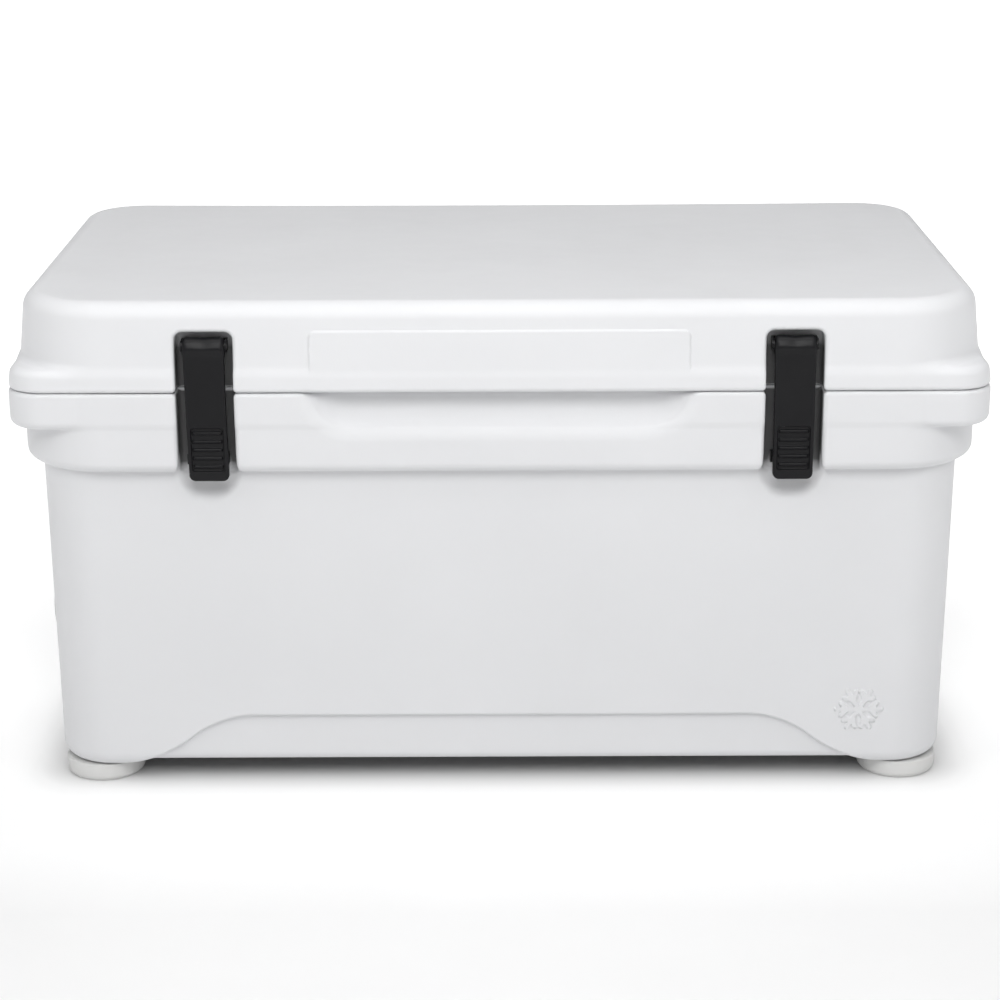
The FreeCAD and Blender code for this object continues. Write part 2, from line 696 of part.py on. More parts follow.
def drain():
    """Through-wall drain fitting, its gasket, and the knurled cap with its seal."""
    here = {"along": "drain_y", "up": "drain_z", "axis": "x"}
    seat, gasket_face = "-drain_wall_x", "-drain_wall_x - drain_gasket_thick"
    tube = cylinder("drain_tube", "drain_tube_rad", "-drain_spout_x", "-drain_inner_x", **here)
    flange = cylinder("drain_flange", "drain_flange_rad", f"{gasket_face} - drain_flange_thick", gasket_face,
                      **here)
    bore = cylinder("drain_way", "drain_bore_rad", "-drain_spout_x - 1", "-drain_inner_x + 1", **here)
    part("drain_fitting", cut("drain_fitting", fuse("drain_blank", tube, flange), bore))
    part("drain_gasket", ring("drain_gasket", "drain_flange_rad - 1", "drain_tube_rad + rod_fit",
                              gasket_face, seat, **here))
    outside = cylinder("cap_body", "cap_rad", "-cap_outer_x", "-cap_inner_x", **here)
    ribs = []
    for n in range(CAP_RIBS):
        turn = 2 * math.pi * n / CAP_RIBS
        ribs.append(cylinder(f"cap_rib_{n}", "cap_rib_rad", "-cap_outer_x + 3", "-cap_inner_x - 2",
                             along=f"drain_y + cap_rad * {math.cos(turn):.6f}",
                             up=f"drain_z + cap_rad * {math.sin(turn):.6f}", axis="x"))
    outer_face = -number("cap_outer_x")
    softened = rounded("cap_soft", outside, "cap_edge",
                       lambda edge: abs(edge.BoundBox.XMax - outer_face) < NEAR)
    inside = cylinder("cap_bore", "cap_bore_rad", "-drain_spout_x - seal_thick - 2 * seal_play",
                      "-cap_inner_x + 1", **here)
    part("drain_cap", cut("drain_cap", fuse("cap_blank", softened, *ribs), inside))
    part("drain_cap_seal", ring("drain_cap_seal", "cap_bore_rad - 0.3", "drain_bore_rad - 1",
                                "-drain_spout_x - seal_thick - seal_play", "-drain_spout_x - seal_play",
                                **here))


# ---------------------------------------------------------------- lid
def lid_foam():
    """Foam core of the lid and of the plug under it."""
    main = block("lid_foam_main", "lid_foam_z", "lid_top - skin", "lid_half_x - skin - 1",
                 f"{lid_front('lid_foam_z')} - skin", "lid_round - skin", "-lid_taper")
    main = soften(main, "crown_edge - skin", "lid_top - skin")
    plug = block("lid_foam_plug", "plug_z + skin", "lid_foam_z + 5", "plug_half_x - skin",
                 "plug_half_y - skin", "plug_round - skin")
    away = [
        recess_clearance("lid_foam_off_latch_" + side, sign, "plug_z", "recess_top_z + skin")
        for side, sign in SIDES
    ]
    away += front_insert_holes("lid_foam_off_mount", MOUNT_SCREWS, "insert_rad + skin", "skin")
    return part("lid_foam", cut("lid_foam", fuse("lid_foam_blank", main, plug), *away))


def gasket_ring(name, spare, low, high):
    """A rounded rectangular ring on the gasket's centre line, wider by spare."""
    half = f"(gasket_width / 2 + {spare})"
    outer = (f"gasket_half_x + {half}", f"gasket_half_y + {half}", f"gasket_round + {half}")
    inner = (f"gasket_half_x - {half}", f"gasket_half_y - {half}", f"gasket_round - {half}")
    outside = block(name + "_outside", low, high, *outer)
    inside = block(name + "_inside", f"{low} - 1", f"{high} + 1", *inner)
    return cut(name, outside, inside)


def lid_shell(foam):
    """Lid skin: crown, side flange, inner plug, latch slots and hinge barrels."""
    flange = block("flange", "lid_z", "flange_z", "half_width", "half_depth", "lip_round", "-lid_taper")
    flange = soften(soften(flange, "rim_edge", "lid_z"), "lip_edge", "flange_z")
    crown = block("crown", "lid_z + rim_edge", "lid_top", "lid_half_x", lid_front("(lid_z + rim_edge)"),
                  "lid_round", "-lid_taper")
    crown = soften(crown, "crown_edge", "lid_top")
    plug = block("plug", "plug_z", "lid_z + 3", "plug_half_x", "plug_half_y", "plug_round", "plug_taper")
    plug = soften(plug, "6", "plug_z")
    low, high = "badge_low_z", "badge_high_z"
    badge = prism("badge", "YZ_Plane", "-badge_half_x", "2 * badge_half_x", (
        (f"-({lid_front(low)}) - badge_proud", low), (f"-({lid_front(high)}) - badge_proud", high),
        (f"-({lid_front(high)}) + 2", high), (f"-({lid_front(low)}) + 2", low),
    ))
    blank = fuse("lid_blank", flange, crown, plug, badge)

    tools = [gasket_ring("gasket_groove", "0.1", "lid_z - 1", "lid_z + gasket_depth")]
    for side, sign in SIDES:
        tools.append(recess_tool("lid_recess_" + side, sign, "plug_z", "recess_top_z"))
    for n, (start, end) in enumerate(BODY_KNUCKLES):
        spare = "end_cap_thick + 2"
        start = f"{start} - knuckle_gap" if n else f"{start} - ({spare})"
        end = f"{end} + knuckle_gap" if n < 2 else f"{end} + {spare}"
        tools.append(hinge_clearance(f"lid_hinge_slot_{n}", start, end))
    opened = cut("lid_opened", blank, *tools)

    stop_rise = math.tan(math.radians(LID_STOP_ANGLE - 90))
    knuckles = []
    for n, (start, end) in enumerate(LID_KNUCKLES):
        knuckles.append(cylinder(f"lid_barrel_{n}", "barrel_rad", start, end,
                                 along="hinge_y", up="seam", axis="x"))
        knuckles.append(prism(f"lid_web_{n}", "YZ_Plane", start, f"{end} - ({start})", (
            ("hinge_y - web_root", "lid_z"), ("hinge_y", "lid_z"),
            ("hinge_y + stop_reach", f"lid_z + stop_reach * {stop_rise:.5f}"),
            ("hinge_y + stop_reach", "seam + web_edge"), ("hinge_y - 1", "seam + web_tall"),
            ("hinge_y - web_root", "seam + web_tall"),
        )))
    whole = fuse("lid_whole", opened, *knuckles)

    holes = [foam]
    for n, (start, end) in enumerate(LID_KNUCKLES):
        holes.append(cylinder(f"bush_bore_{n}", "bush_rad", f"{start} - 1", f"{end} + 1",
                              along="hinge_y", up="seam", axis="x"))
    holes += front_insert_holes("mount_hole", MOUNT_SCREWS, "insert_rad", "0")
    for side, sign in SIDES:
        holes.append(cylinder("lid_port_hole_" + side, "port_rad", "plug_z - 1", "plug_z + skin",
                              f"{sign}(port_x)"))
    return part("lid_shell", cut("lid_shell", whole, *holes))


def lid_fittings():
    """The lid's gasket and the plugs of its foam filling ports."""
    part("lid_gasket", gasket_ring("lid_gasket", "0", "rim_z + gasket_clear", "lid_z + gasket_depth"))
    plugs = [
        cylinder("lid_port_" + side, "port_rad - rod_fit", "plug_z", "plug_z + skin", f"{sign}(port_x)")
        for side, sign in SIDES
    ]
    part("lid_fill_plugs", group("lid_fill_plugs", *plugs))


# ---------------------------------------------------------------- latches
def latch_mounts():
    """Brackets in the lid's slots, each with two ears that carry the lever's pin."""
    for side, sign in SIDES:
        middle = f"{sign}(latch_x)"
        ear_in = "lever_half_x + ear_gap"
        ear_out = f"{ear_in} + ear_thick"
        back = ("-recess_y - mount_thick", "-recess_y")
        pieces = [
            box("mount_plate_" + side, f"{middle} - plate_half_x", f"{middle} + plate_half_x",
                *back, "mount_low_z", "mount_high_z"),
            box("mount_bar_" + side, f"{middle} - ({ear_out})", f"{middle} + {ear_out}",
                *back, "latch_z - ear_rad", "mount_high_z"),
        ]
        for n, (low, high) in enumerate(((f"-({ear_out})", f"-({ear_in})"), (ear_in, ear_out))):
            low, high = f"{middle} + ({low})", f"{middle} + ({high})"
            pieces.append(cylinder(f"ear_eye_{side}_{n}", "ear_rad", low, high,
                                   along="-latch_y", up="latch_z", axis="x"))
            pieces.append(box(f"ear_arm_{side}_{n}", low, high, "-latch_y", "-recess_y",
                              "latch_z - ear_rad", "latch_z + ear_rad"))
        bore = cylinder("ear_bore_" + side, "pin_rad", f"{middle} - 2 * lever_half_x",
                        f"{middle} + 2 * lever_half_x", along="-latch_y", up="latch_z", axis="x")
        places = [spot for spot in MOUNT_SCREWS if spot[0].startswith(side)]
        sinks = front_screw_sinks("mount_sink", places)
        blank = fuse("mount_blank_" + side, *pieces)
        part("latch_mount_" + side, cut("latch_mount_" + side, blank, bore, *sinks))
        part("latch_pin_" + side, cylinder("latch_pin_" + side, "pin_rad", f"{middle} - ({ear_out})",
                                           f"{middle} + {ear_out}", along="-latch_y", up="latch_z", axis="x"))
    front_screws("latch_mount_screws", MOUNT_SCREWS)
    front_inserts("latch_mount_inserts", MOUNT_SCREWS)


def levers():
    """Latch levers with a ribbed grip, and the springy claw on the back of each."""
    for side, sign in SIDES:
        middle = f"{sign}(latch_x)"
        start = f"{middle} - lever_half_x"
        barrel = cylinder("lever_barrel_" + side, "lever_rad", start, f"{middle} + lever_half_x",
                          along="-latch_y", up="latch_z", axis="x")
        front = "-latch_y - lever_rad"
        face = f"{front} - lever_lean"
        blade = prism("lever_blade_" + side, "YZ_Plane", start, "2 * lever_half_x", (
            (front, "latch_z"), (face, "grip_high_z"), (face, "lever_tip_z + tip_edge"),
            (f"{face} + tip_edge / 2", "lever_tip_z"), ("-latch_y - blade_back", "lever_tip_z"),
            ("-latch_y - blade_back", "grip_high_z"), ("-latch_y - 0.5", "latch_z - 4"),
        ))
        tray = box("grip_tray_" + side, f"{middle} - grip_half_x", f"{middle} + grip_half_x",
                   f"{face} - 1", f"{face} + grip_depth", "grip_low_z", "grip_high_z")
        bore = cylinder("lever_bore_" + side, "pin_rad + rod_fit", f"{start} - 1",
                        f"{middle} + lever_half_x + 1", along="-latch_y", up="latch_z", axis="x")
        ribs = [
            cylinder(f"grip_rib_{side}_{n}", "rib_rad", f"{middle} - grip_half_x", f"{middle} + grip_half_x",
                     along=f"{face} + rib_rad + rib_sunk", up=f"rib_low_z + {n} * rib_pitch", axis="x")
            for n in range(GRIP_RIBS)
        ]
        opened = cut("lever_opened_" + side, fuse("lever_blank_" + side, barrel, blade), tray, bore)
        part("lever_" + side, fuse("lever_" + side, opened, *ribs))
        root, tongue, hook = "-latch_y - blade_back", "-latch_y - 1.2", "-recess_y - mount_thick"
        part("claw_" + side, prism("claw_" + side, "YZ_Plane", f"{middle} - claw_half_x", "2 * claw_half_x", (
            (root, "catch_low_z + claw_rise"), (root, "lever_tip_z + 1"),
            (f"{hook} - 2.5", "catch_low_z - 4"), (f"{hook} - 1.5", "catch_low_z - claw_clear"),
            (tongue, "catch_low_z - claw_clear"), (tongue, "catch_low_z + claw_rise"),
        )))


body_core = chest_foam()
chest_shell(body_core)
base_ports()
feet()
catches()
hinge()
drain()
lid_core = lid_foam()
lid_shell(lid_core)
lid_fittings()
latch_mounts()
levers()
doc.recompute()

# ---------------------------------------------------------------- tests and output
failed = [item.Name for item in doc.Objects if {"Invalid", "Error"} & set(item.State)]
for name, thing in parts.items():
    if thing.Shape.isNull() or not thing.Shape.isValid() or not thing.Shape.Solids:
        failed.append(name)
if failed:
    raise RuntimeError("failed: " + ", ".join(failed))

os.makedirs("parts", exist_ok=True)
for name, thing in parts.items():
    thing.Shape.exportStep(f"parts/{name}.step")
    extent = thing.Shape.BoundBox
    print(f"{name:22s} {len(thing.Shape.Solids)} solids {thing.Shape.Volume / 1000:10.2f} cm3"
          f"  x {extent.XMin:8.2f} {extent.XMax:8.2f}  y {extent.YMin:8.2f} {extent.YMax:8.2f}"
          f"  z {extent.ZMin:7.2f} {extent.ZMax:7.2f}")
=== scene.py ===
"""Looks of the cooler chest: soft moulded shells, latches, feet, drain, materials, light and camera.

The moulded pieces are fields: functions that give each point's distance to the surface in millimetres,
negative inside. mesh_of lays a grid over a field and makes quads whose points lie on the surface.
The last number in each call of meet, join and carve is the radius of the edges that it makes, mm.
"""
import functools
import json
import math

import bpy
import numpy as np
from mathutils import Matrix, Vector


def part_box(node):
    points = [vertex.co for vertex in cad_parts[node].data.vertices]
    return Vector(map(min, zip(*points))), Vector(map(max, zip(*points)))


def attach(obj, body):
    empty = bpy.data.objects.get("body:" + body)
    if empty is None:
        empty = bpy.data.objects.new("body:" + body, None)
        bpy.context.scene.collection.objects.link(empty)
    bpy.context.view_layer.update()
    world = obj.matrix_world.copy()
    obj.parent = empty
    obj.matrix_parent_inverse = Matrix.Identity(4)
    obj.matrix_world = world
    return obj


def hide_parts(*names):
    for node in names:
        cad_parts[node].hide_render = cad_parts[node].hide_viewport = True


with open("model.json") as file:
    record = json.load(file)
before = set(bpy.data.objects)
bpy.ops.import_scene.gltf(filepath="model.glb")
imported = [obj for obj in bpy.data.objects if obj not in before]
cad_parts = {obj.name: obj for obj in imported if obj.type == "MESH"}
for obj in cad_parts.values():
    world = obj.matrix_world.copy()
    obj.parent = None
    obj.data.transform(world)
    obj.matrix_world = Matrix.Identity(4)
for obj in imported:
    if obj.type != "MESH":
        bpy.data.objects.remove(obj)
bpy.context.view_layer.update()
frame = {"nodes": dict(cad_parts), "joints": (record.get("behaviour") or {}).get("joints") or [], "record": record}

# ---------------------------------------------------------------- sizes from the frame, mm
MM = 1000.0
joints = {joint["name"]: joint for joint in frame["joints"]}
lid_pivot = joints["lid_hinge"]["pos_m"]
latch_pivot = joints["latch_right_pivot"]["pos_m"]
HINGE_Y, SEAM = lid_pivot[1] * MM, lid_pivot[2] * MM
LATCH_X, LATCH_Y, LATCH_Z = (value * MM for value in latch_pivot)


def node_box(node):
    """Lowest and highest corner of a CAD node, mm."""
    low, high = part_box(node)
    return np.array(low) * MM, np.array(high) * MM


HALF_X = node_box("body_shell")[1][0]
HALF_Y = -node_box("body_shell")[0][1]
BASE_Z = node_box("body_shell")[0][2]
LID_TOP = node_box("lid_shell")[1][2]
LEVER_TIP = node_box("lever_right")[0][2]

# chest body
WALL_SLOPE = math.tan(math.radians(0.65))
LOW_HALF_X, LOW_HALF_Y, LOW_ROUND, LOW_EDGE = HALF_X - 20.9, HALF_Y - 13, 40, 11
BAND_Z, BAND_HALF_X, BAND_ROUND, BAND_EDGE = SEAM - 59.5, HALF_X - 4.5, 66, 7
LIP_Z, LIP_ROUND, LIP_EDGE, LIP_BACK = SEAM - 27.5, 27, 6, HALF_Y - 2
RIM_GAP, RIM_EDGE = 0.2, 3
TUB_Z, TUB_HALF_X, TUB_HALF_Y, TUB_ROUND, TUB_FLOOR_EDGE = 70, 287, 137, 38, 20
TUB_SLOPE = math.tan(math.radians(2.2))
# lid
LID_SLOPE = math.tan(math.radians(6))
LID_HALF_X, LID_ROUND, LID_BACK_ROUND, LID_EDGE, LID_SAG = HALF_X - 1, 70, 54, 12, 1.3
FLANGE_Z = SEAM + 16.5
PLUG_Z, PLUG_HALF_X, PLUG_HALF_Y, PLUG_ROUND = SEAM - 11, 288, 138, 36
PLUG_SLOPE = math.tan(math.radians(3))
BADGE_HALF_X, BADGE_Z, BADGE_HALF_Z, BADGE_PROUD = 136, SEAM + 28.25, 16.25, 0.8
GASKET_HALF_X, GASKET_HALF_Y, GASKET_ROUND, GASKET_WIDTH, GASKET_PLAY = 310, 160, 54, 11, 0.1
# front details
SLOT_HALF_X, SLOT_Y, SLOT_LOW, SLOT_HIGH, SLOT_ROUND = 20.7, HALF_Y - 17.5, SEAM - 62, SEAM + 43.8, 6
# painted shade in the latch slots: how strongly it darkens them, and the dark colour blended in
SLOT_SHADE, SLOT_SHADE_COLOR = 0.9, (0.05, 0.05, 0.05, 1)
BOWL_SIZE, BOWL_Y, BOWL_Z = (22.5, 11, 23), HALF_Y - 8, SEAM - 59
SCOOP_HALF_X, SCOOP_Z, SCOOP_DEPTH, SCOOP_ROUND = 139.5, SEAM - 29.7, 14, 35
PANEL_HALF_X, PANEL_Z, PANEL_FOOT_HALF_X, PANEL_FOOT_Z, PANEL_DEPTH = 213.5, 56, 256, 15, 3.7
EMBLEM_X, EMBLEM_Z, EMBLEM_ARM, EMBLEM_STROKE, EMBLEM_PROUD = 268, 59.5, 16.5, 1.7, 1.0
# side pockets under the lips
POCKET_HALF_Y, POCKET_X, POCKET_LIP_X, POCKET_LOW, POCKET_HIGH = 66, 320, 339, SEAM - 101, SEAM - 21
POCKET_RISE = 28
# hinge
BARREL, BARREL_ROOM = 7, 7.6
WEB_GAP, WEB_TALL, WEB_EDGE, LID_WEB_DEPTH = 0.5, 25, 9, 9.5
WEB_FOOT_SLOPE = math.tan(math.radians(5.5))
KNUCKLE_GAP, HINGE_END, END_ROOM = 0.5, 300, 4.5
BODY_KNUCKLES = ((-HINGE_END, -180), (-60, 60), (180, HINGE_END))
LID_KNUCKLES = ((-180 + KNUCKLE_GAP, -60 - KNUCKLE_GAP), (60 + KNUCKLE_GAP, 180 - KNUCKLE_GAP))
# drain
DRAIN_Z = sum(corner[2] for corner in node_box("drain_cap")) / 2
DRAIN_SEAT_X, DRAIN_SEAT, DRAIN_SUMP = 337.2, 27, 15


# ---------------------------------------------------------------- fields
def round_rect(u, v, half_u, half_v, radius):
    across = np.abs(u) - half_u + radius
    along = np.abs(v) - half_v + radius
    outside = np.hypot(np.maximum(across, 0), np.maximum(along, 0))
    return outside + np.minimum(np.maximum(across, along), 0) - radius


def meet(one, other, radius):
    """What lies in both, with its new edges rounded."""
    corner = np.hypot(np.maximum(radius + one, 0), np.maximum(radius + other, 0))
    return np.minimum(np.maximum(one, other), -radius) + corner


def join(one, other, radius):
    return -meet(-one, -other, radius)


def carve(one, other, radius):
    return meet(one, -other, radius)


def spans(x, ranges):
    """Distance to the nearest of several spans of X."""
    return np.minimum.reduce([np.abs(x - (low + high) / 2) - (high - low) / 2 for low, high in ranges])


def slant(u, v, first, second):
    """Distance to the line from first to second, positive on its left."""
    du, dv = second[0] - first[0], second[1] - first[1]
    return ((v - first[1]) * du - (u - first[0]) * dv) / math.hypot(du, dv)


def latch_slot(x, y, z):
    middle, half = (SLOT_LOW + SLOT_HIGH) / 2, (SLOT_HIGH - SLOT_LOW) / 2
    outline = round_rect(np.abs(x) - LATCH_X, z - middle, SLOT_HALF_X, half, SLOT_ROUND)
    return meet(outline, y + SLOT_Y, 2.5)


def finger_bowl(x, y, z):
    offsets = (np.abs(x) - LATCH_X, y + BOWL_Y, z - BOWL_Z)
    near = np.sqrt(sum((offset / size) ** 2 for offset, size in zip(offsets, BOWL_SIZE)))
    steep = np.sqrt(sum((offset / size ** 2) ** 2 for offset, size in zip(offsets, BOWL_SIZE)))
    return near * (near - 1) / np.maximum(steep, 1e-6)


def grip_scoop(x, y, z):
    middle = SEAM + 40
    outline = round_rect(x, z - middle, SCOOP_HALF_X, middle - SCOOP_Z, SCOOP_ROUND)
    sloped = (outline + y + HALF_Y) / math.sqrt(2)
    return meet(sloped, y + HALF_Y - SCOOP_DEPTH, 9)


def front_panel(x, y, z, outside):
    """The low relief panel, which follows the wall at a depth."""
    side = slant(np.abs(x), z, (PANEL_HALF_X, PANEL_Z), (PANEL_FOOT_HALF_X, PANEL_FOOT_Z))
    flare = np.maximum(z - 12, np.abs(x) - 290)
    outline = join(meet(z - PANEL_Z, side, 18), flare, 30)
    return meet(meet(outline, -(outside + PANEL_DEPTH), 1.5), y + HALF_Y / 2, 1)


def stroke(u, v, first, second):
    """Distance to a straight stroke from first to second."""
    du, dv = second[0] - first[0], second[1] - first[1]
    share = np.clip(((u - first[0]) * du + (v - first[1]) * dv) / (du * du + dv * dv), 0, 1)
    return np.hypot(u - first[0] - share * du, v - first[1] - share * dv) - EMBLEM_STROKE


def snowflake(u, v):
    """Six arms, each with two short twigs, folded onto one arm."""
    turn = np.arctan2(v, u)
    turn = np.abs((turn + math.pi / 6) % (math.pi / 3) - math.pi / 6)
    reach = np.hypot(u, v)
    along, across = reach * np.cos(turn), reach * np.sin(turn)
    arm = stroke(along, across, (0, 0), (EMBLEM_ARM, 0))
    twig = stroke(along, across, (0.5 * EMBLEM_ARM, 0), (0.8 * EMBLEM_ARM, 0.3 * EMBLEM_ARM))
    return join(arm, twig, 1)


def side_pocket(x, y, z):
    x = np.abs(x)
    floor = slant(x, z, (POCKET_LIP_X, POCKET_LOW), (POCKET_X, POCKET_LOW + POCKET_RISE))
    depth = meet(POCKET_X - x, floor, 6)
    lip = join(x - POCKET_LIP_X, z - BAND_Z, 4)
    inside = meet(meet(depth, z - POCKET_HIGH, 6), np.abs(y) - POCKET_HALF_Y, 8)
    return meet(inside, lip, 2)


def chest_outside(x, y, z):
    grow = (z - BASE_Z) * WALL_SLOPE
    low = round_rect(x, y, LOW_HALF_X + grow, LOW_HALF_Y + grow, LOW_ROUND + grow)
    low = meet(low, BASE_Z - z, LOW_EDGE)
    band = meet(round_rect(x, y, BAND_HALF_X, HALF_Y, BAND_ROUND), BAND_Z - z, BAND_EDGE)
    lip_outline = round_rect(x, y, HALF_X, np.where(y > 0, LIP_BACK, HALF_Y), LIP_ROUND)
    lip = meet(lip_outline, LIP_Z - z, LIP_EDGE)
    return join(join(low, band, 1.5), lip, 2.5)


def body_shell(x, y, z):
    outside = chest_outside(x, y, z)
    seat = meet(np.hypot(y, z - DRAIN_Z) - DRAIN_SEAT, np.abs(x + DRAIN_SEAT_X - 4) - 4, 0.8)
    shell = meet(join(outside, seat, 1.5), z - SEAM + RIM_GAP, RIM_EDGE)
    grow = (z - TUB_Z) * TUB_SLOPE
    tub = round_rect(x, y, TUB_HALF_X + grow, TUB_HALF_Y + grow, TUB_ROUND + grow)
    shell = carve(shell, meet(tub, TUB_Z - z, TUB_FLOOR_EDGE), 4)
    shell = carve(shell, grip_scoop(x, y, z), 5)
    shell = carve(shell, front_panel(x, y, z, outside), 1.5)
    emblem = meet(snowflake(x - EMBLEM_X, z - EMBLEM_Z), outside - EMBLEM_PROUD, 0.5)
    shell = join(shell, meet(emblem, y + HALF_Y / 2, 1), 0.8)
    shell = carve(shell, side_pocket(x, y, z), 3)
    shell = carve(shell, finger_bowl(x, y, z), 3)
    shell = carve(shell, latch_slot(x, y, z), 3.5)
    sump = meet(np.hypot(y, z - DRAIN_Z) - DRAIN_SUMP, np.abs(x + TUB_HALF_X - 12) - 13, 1)
    shell = carve(shell, sump, 1.5)
    barrel = np.hypot(y - HINGE_Y, z - SEAM)
    room = [(low - KNUCKLE_GAP, high + KNUCKLE_GAP) for low, high in LID_KNUCKLES]
    room += [(-HINGE_END - END_ROOM, -HINGE_END), (HINGE_END, HINGE_END + END_ROOM)]
    shell = carve(shell, meet(barrel - BARREL_ROOM, spans(x, room), 0.4), 0.8)
    back = slant(y, z, (HINGE_Y + BARREL, SEAM - WEB_EDGE), (HINGE_Y, SEAM - WEB_TALL))
    web = np.maximum(np.maximum(y - HINGE_Y - BARREL, z - SEAM), np.maximum(back, HINGE_Y - 8 - y))
    knuckle = meet(np.minimum(web, barrel - BARREL), spans(x, BODY_KNUCKLES), 0.8)
    return join(shell, knuckle, 0.6)


def lid_top(x, y):
    """Height of the lid's slightly sunk top."""
    across = np.clip(1 - (x / LID_HALF_X) ** 2, 0, 1)
    along = np.clip((y + HALF_Y) / HALF_Y, 0, 1)
    return LID_TOP - LID_SAG * across * along


def lid_crown(x, y, z):
    shrink = (z - SEAM) * LID_SLOPE
    corner = np.where(y > 0, LID_BACK_ROUND, LID_ROUND)
    wall = round_rect(x, y, LID_HALF_X - shrink, HALF_Y - shrink, corner - shrink)
    return meet(meet(wall, z - lid_top(x, y), LID_EDGE), SEAM + 3 - z, 1)


def lid_shell(x, y, z):
    shrink = (z - SEAM) * LID_SLOPE
    crown = lid_crown(x, y, z)
    outline = round_rect(x, z - BADGE_Z, BADGE_HALF_X, BADGE_HALF_Z, 5)
    badge = meet(meet(outline, crown - BADGE_PROUD, 0.6), y, 1)
    flange = meet(round_rect(x, y, HALF_X - shrink, HALF_Y - shrink, LIP_ROUND), z - FLANGE_Z, LIP_EDGE)
    shell = join(join(flange, crown, 5), badge, 0.6)
    shell = meet(shell, SEAM + RIM_GAP - z, RIM_EDGE)
    grow = (z - PLUG_Z) * PLUG_SLOPE
    plug = meet(round_rect(x, y, PLUG_HALF_X + grow, PLUG_HALF_Y + grow, PLUG_ROUND), PLUG_Z - z, 6)
    shell = join(shell, meet(plug, z - SEAM - 5, 1), 2)
    gasket_line = round_rect(x, y, GASKET_HALF_X, GASKET_HALF_Y, GASKET_ROUND)
    groove = np.abs(gasket_line) - GASKET_WIDTH / 2 - GASKET_PLAY
    shell = carve(shell, meet(groove, z - SEAM - 5.5, 0.3), 0.6)
    shell = carve(shell, latch_slot(x, y, z), 3)
    barrel = np.hypot(y - HINGE_Y, z - SEAM)
    room = ((-HINGE_END - END_ROOM, LID_KNUCKLES[0][0]), (LID_KNUCKLES[0][1], LID_KNUCKLES[1][0]),
            (LID_KNUCKLES[1][1], HINGE_END + END_ROOM))
    shell = carve(shell, meet(barrel - BARREL_ROOM, spans(x, room), 0.4), 0.8)
    foot = SEAM + WEB_GAP + np.maximum(y - HINGE_Y, 0) * WEB_FOOT_SLOPE - z
    back = slant(y, z, (HINGE_Y - 1, SEAM + WEB_TALL), (HINGE_Y + LID_WEB_DEPTH, SEAM + WEB_EDGE))
    web = np.maximum(np.maximum(y - HINGE_Y - LID_WEB_DEPTH, foot), np.maximum(back, HINGE_Y - 12 - y))
    knuckle = meet(np.minimum(web, barrel - BARREL), spans(x, LID_KNUCKLES), 0.8)
    return join(shell, knuckle, 0.6)


LEVER_HALF_X, LEVER_THICK, LEVER_LEAN, LEVER_BARREL = 14.7, 6.5, 3.5, 7
GRIP_HALF_X, GRIP_LOW, GRIP_HIGH, GRIP_DEPTH = 11.7, LEVER_TIP + 7.3, LEVER_TIP + 39.7, 1.6
RIB_LOW, RIB_PITCH, RIB_RADIUS, RIB_COUNT = LEVER_TIP + 11.1, 6.2, 1.2, 5


def lever(u, y, z, tilt=0.0):
    """A latch lever; u is across from its middle, and tilt how far its tip leans sideways."""
    u = u - tilt * (LATCH_Z - z) / (LATCH_Z - LEVER_TIP)
    lean = np.clip((LATCH_Z - z) / (LATCH_Z - GRIP_HIGH), 0, 1)
    front = LATCH_Y - y - LEVER_BARREL - LEVER_LEAN * lean
    height = LATCH_Z - LEVER_TIP
    outline = round_rect(u, z - LEVER_TIP - height / 2, LEVER_HALF_X - 0.3 * lean, height / 2, 4.5)
    blade = meet(meet(front, -front - LEVER_THICK, 1.6), outline, 1.6)
    barrel = np.hypot(y - LATCH_Y, z - LATCH_Z) - LEVER_BARREL + 0.6 * np.exp(-(u / 5) ** 2)
    body = join(blade, meet(barrel, np.abs(u) - LEVER_HALF_X, 3), 3)
    tray = round_rect(u, z - (GRIP_LOW + GRIP_HIGH) / 2, GRIP_HALF_X, (GRIP_HIGH - GRIP_LOW) / 2, 2.5)
    body = carve(body, meet(tray, -front - GRIP_DEPTH, 0.5), 0.6)
    nearest = np.clip(np.round((z - RIB_LOW) / RIB_PITCH), 0, RIB_COUNT - 1)
    rib = np.hypot(z - RIB_LOW - nearest * RIB_PITCH, front + RIB_RADIUS + 0.15) - RIB_RADIUS
    return join(body, meet(rib, np.abs(u) - GRIP_HALF_X + 1.2, 1), 0.5)


# ---------------------------------------------------------------- meshes
def planes(low, high, step, *closer):
    """Grid planes from low to high, a step apart, or closer in stretches given as (start, end, step)."""
    stops = {low, high}
    for start, end, _ in closer:
        stops |= {min(max(start, low), high), min(max(end, low), high)}
    stops = sorted(stops)
    made = [np.array([low])]
    for start, end in zip(stops, stops[1:]):
        middle = (start + end) / 2
        here = min([step] + [size for first, last, size in closer if first <= middle <= last])
        made.append(np.linspace(start, end, max(1, math.ceil((end - start) / here)) + 1)[1:])
    return np.concatenate(made)


def both_sides(*closer):
    return closer + tuple((-end, -start, step) for start, end, step in closer)


EDGES = [(a, b) for a in range(8) for b in range(8) if a < b and bin(a ^ b).count("1") == 1]


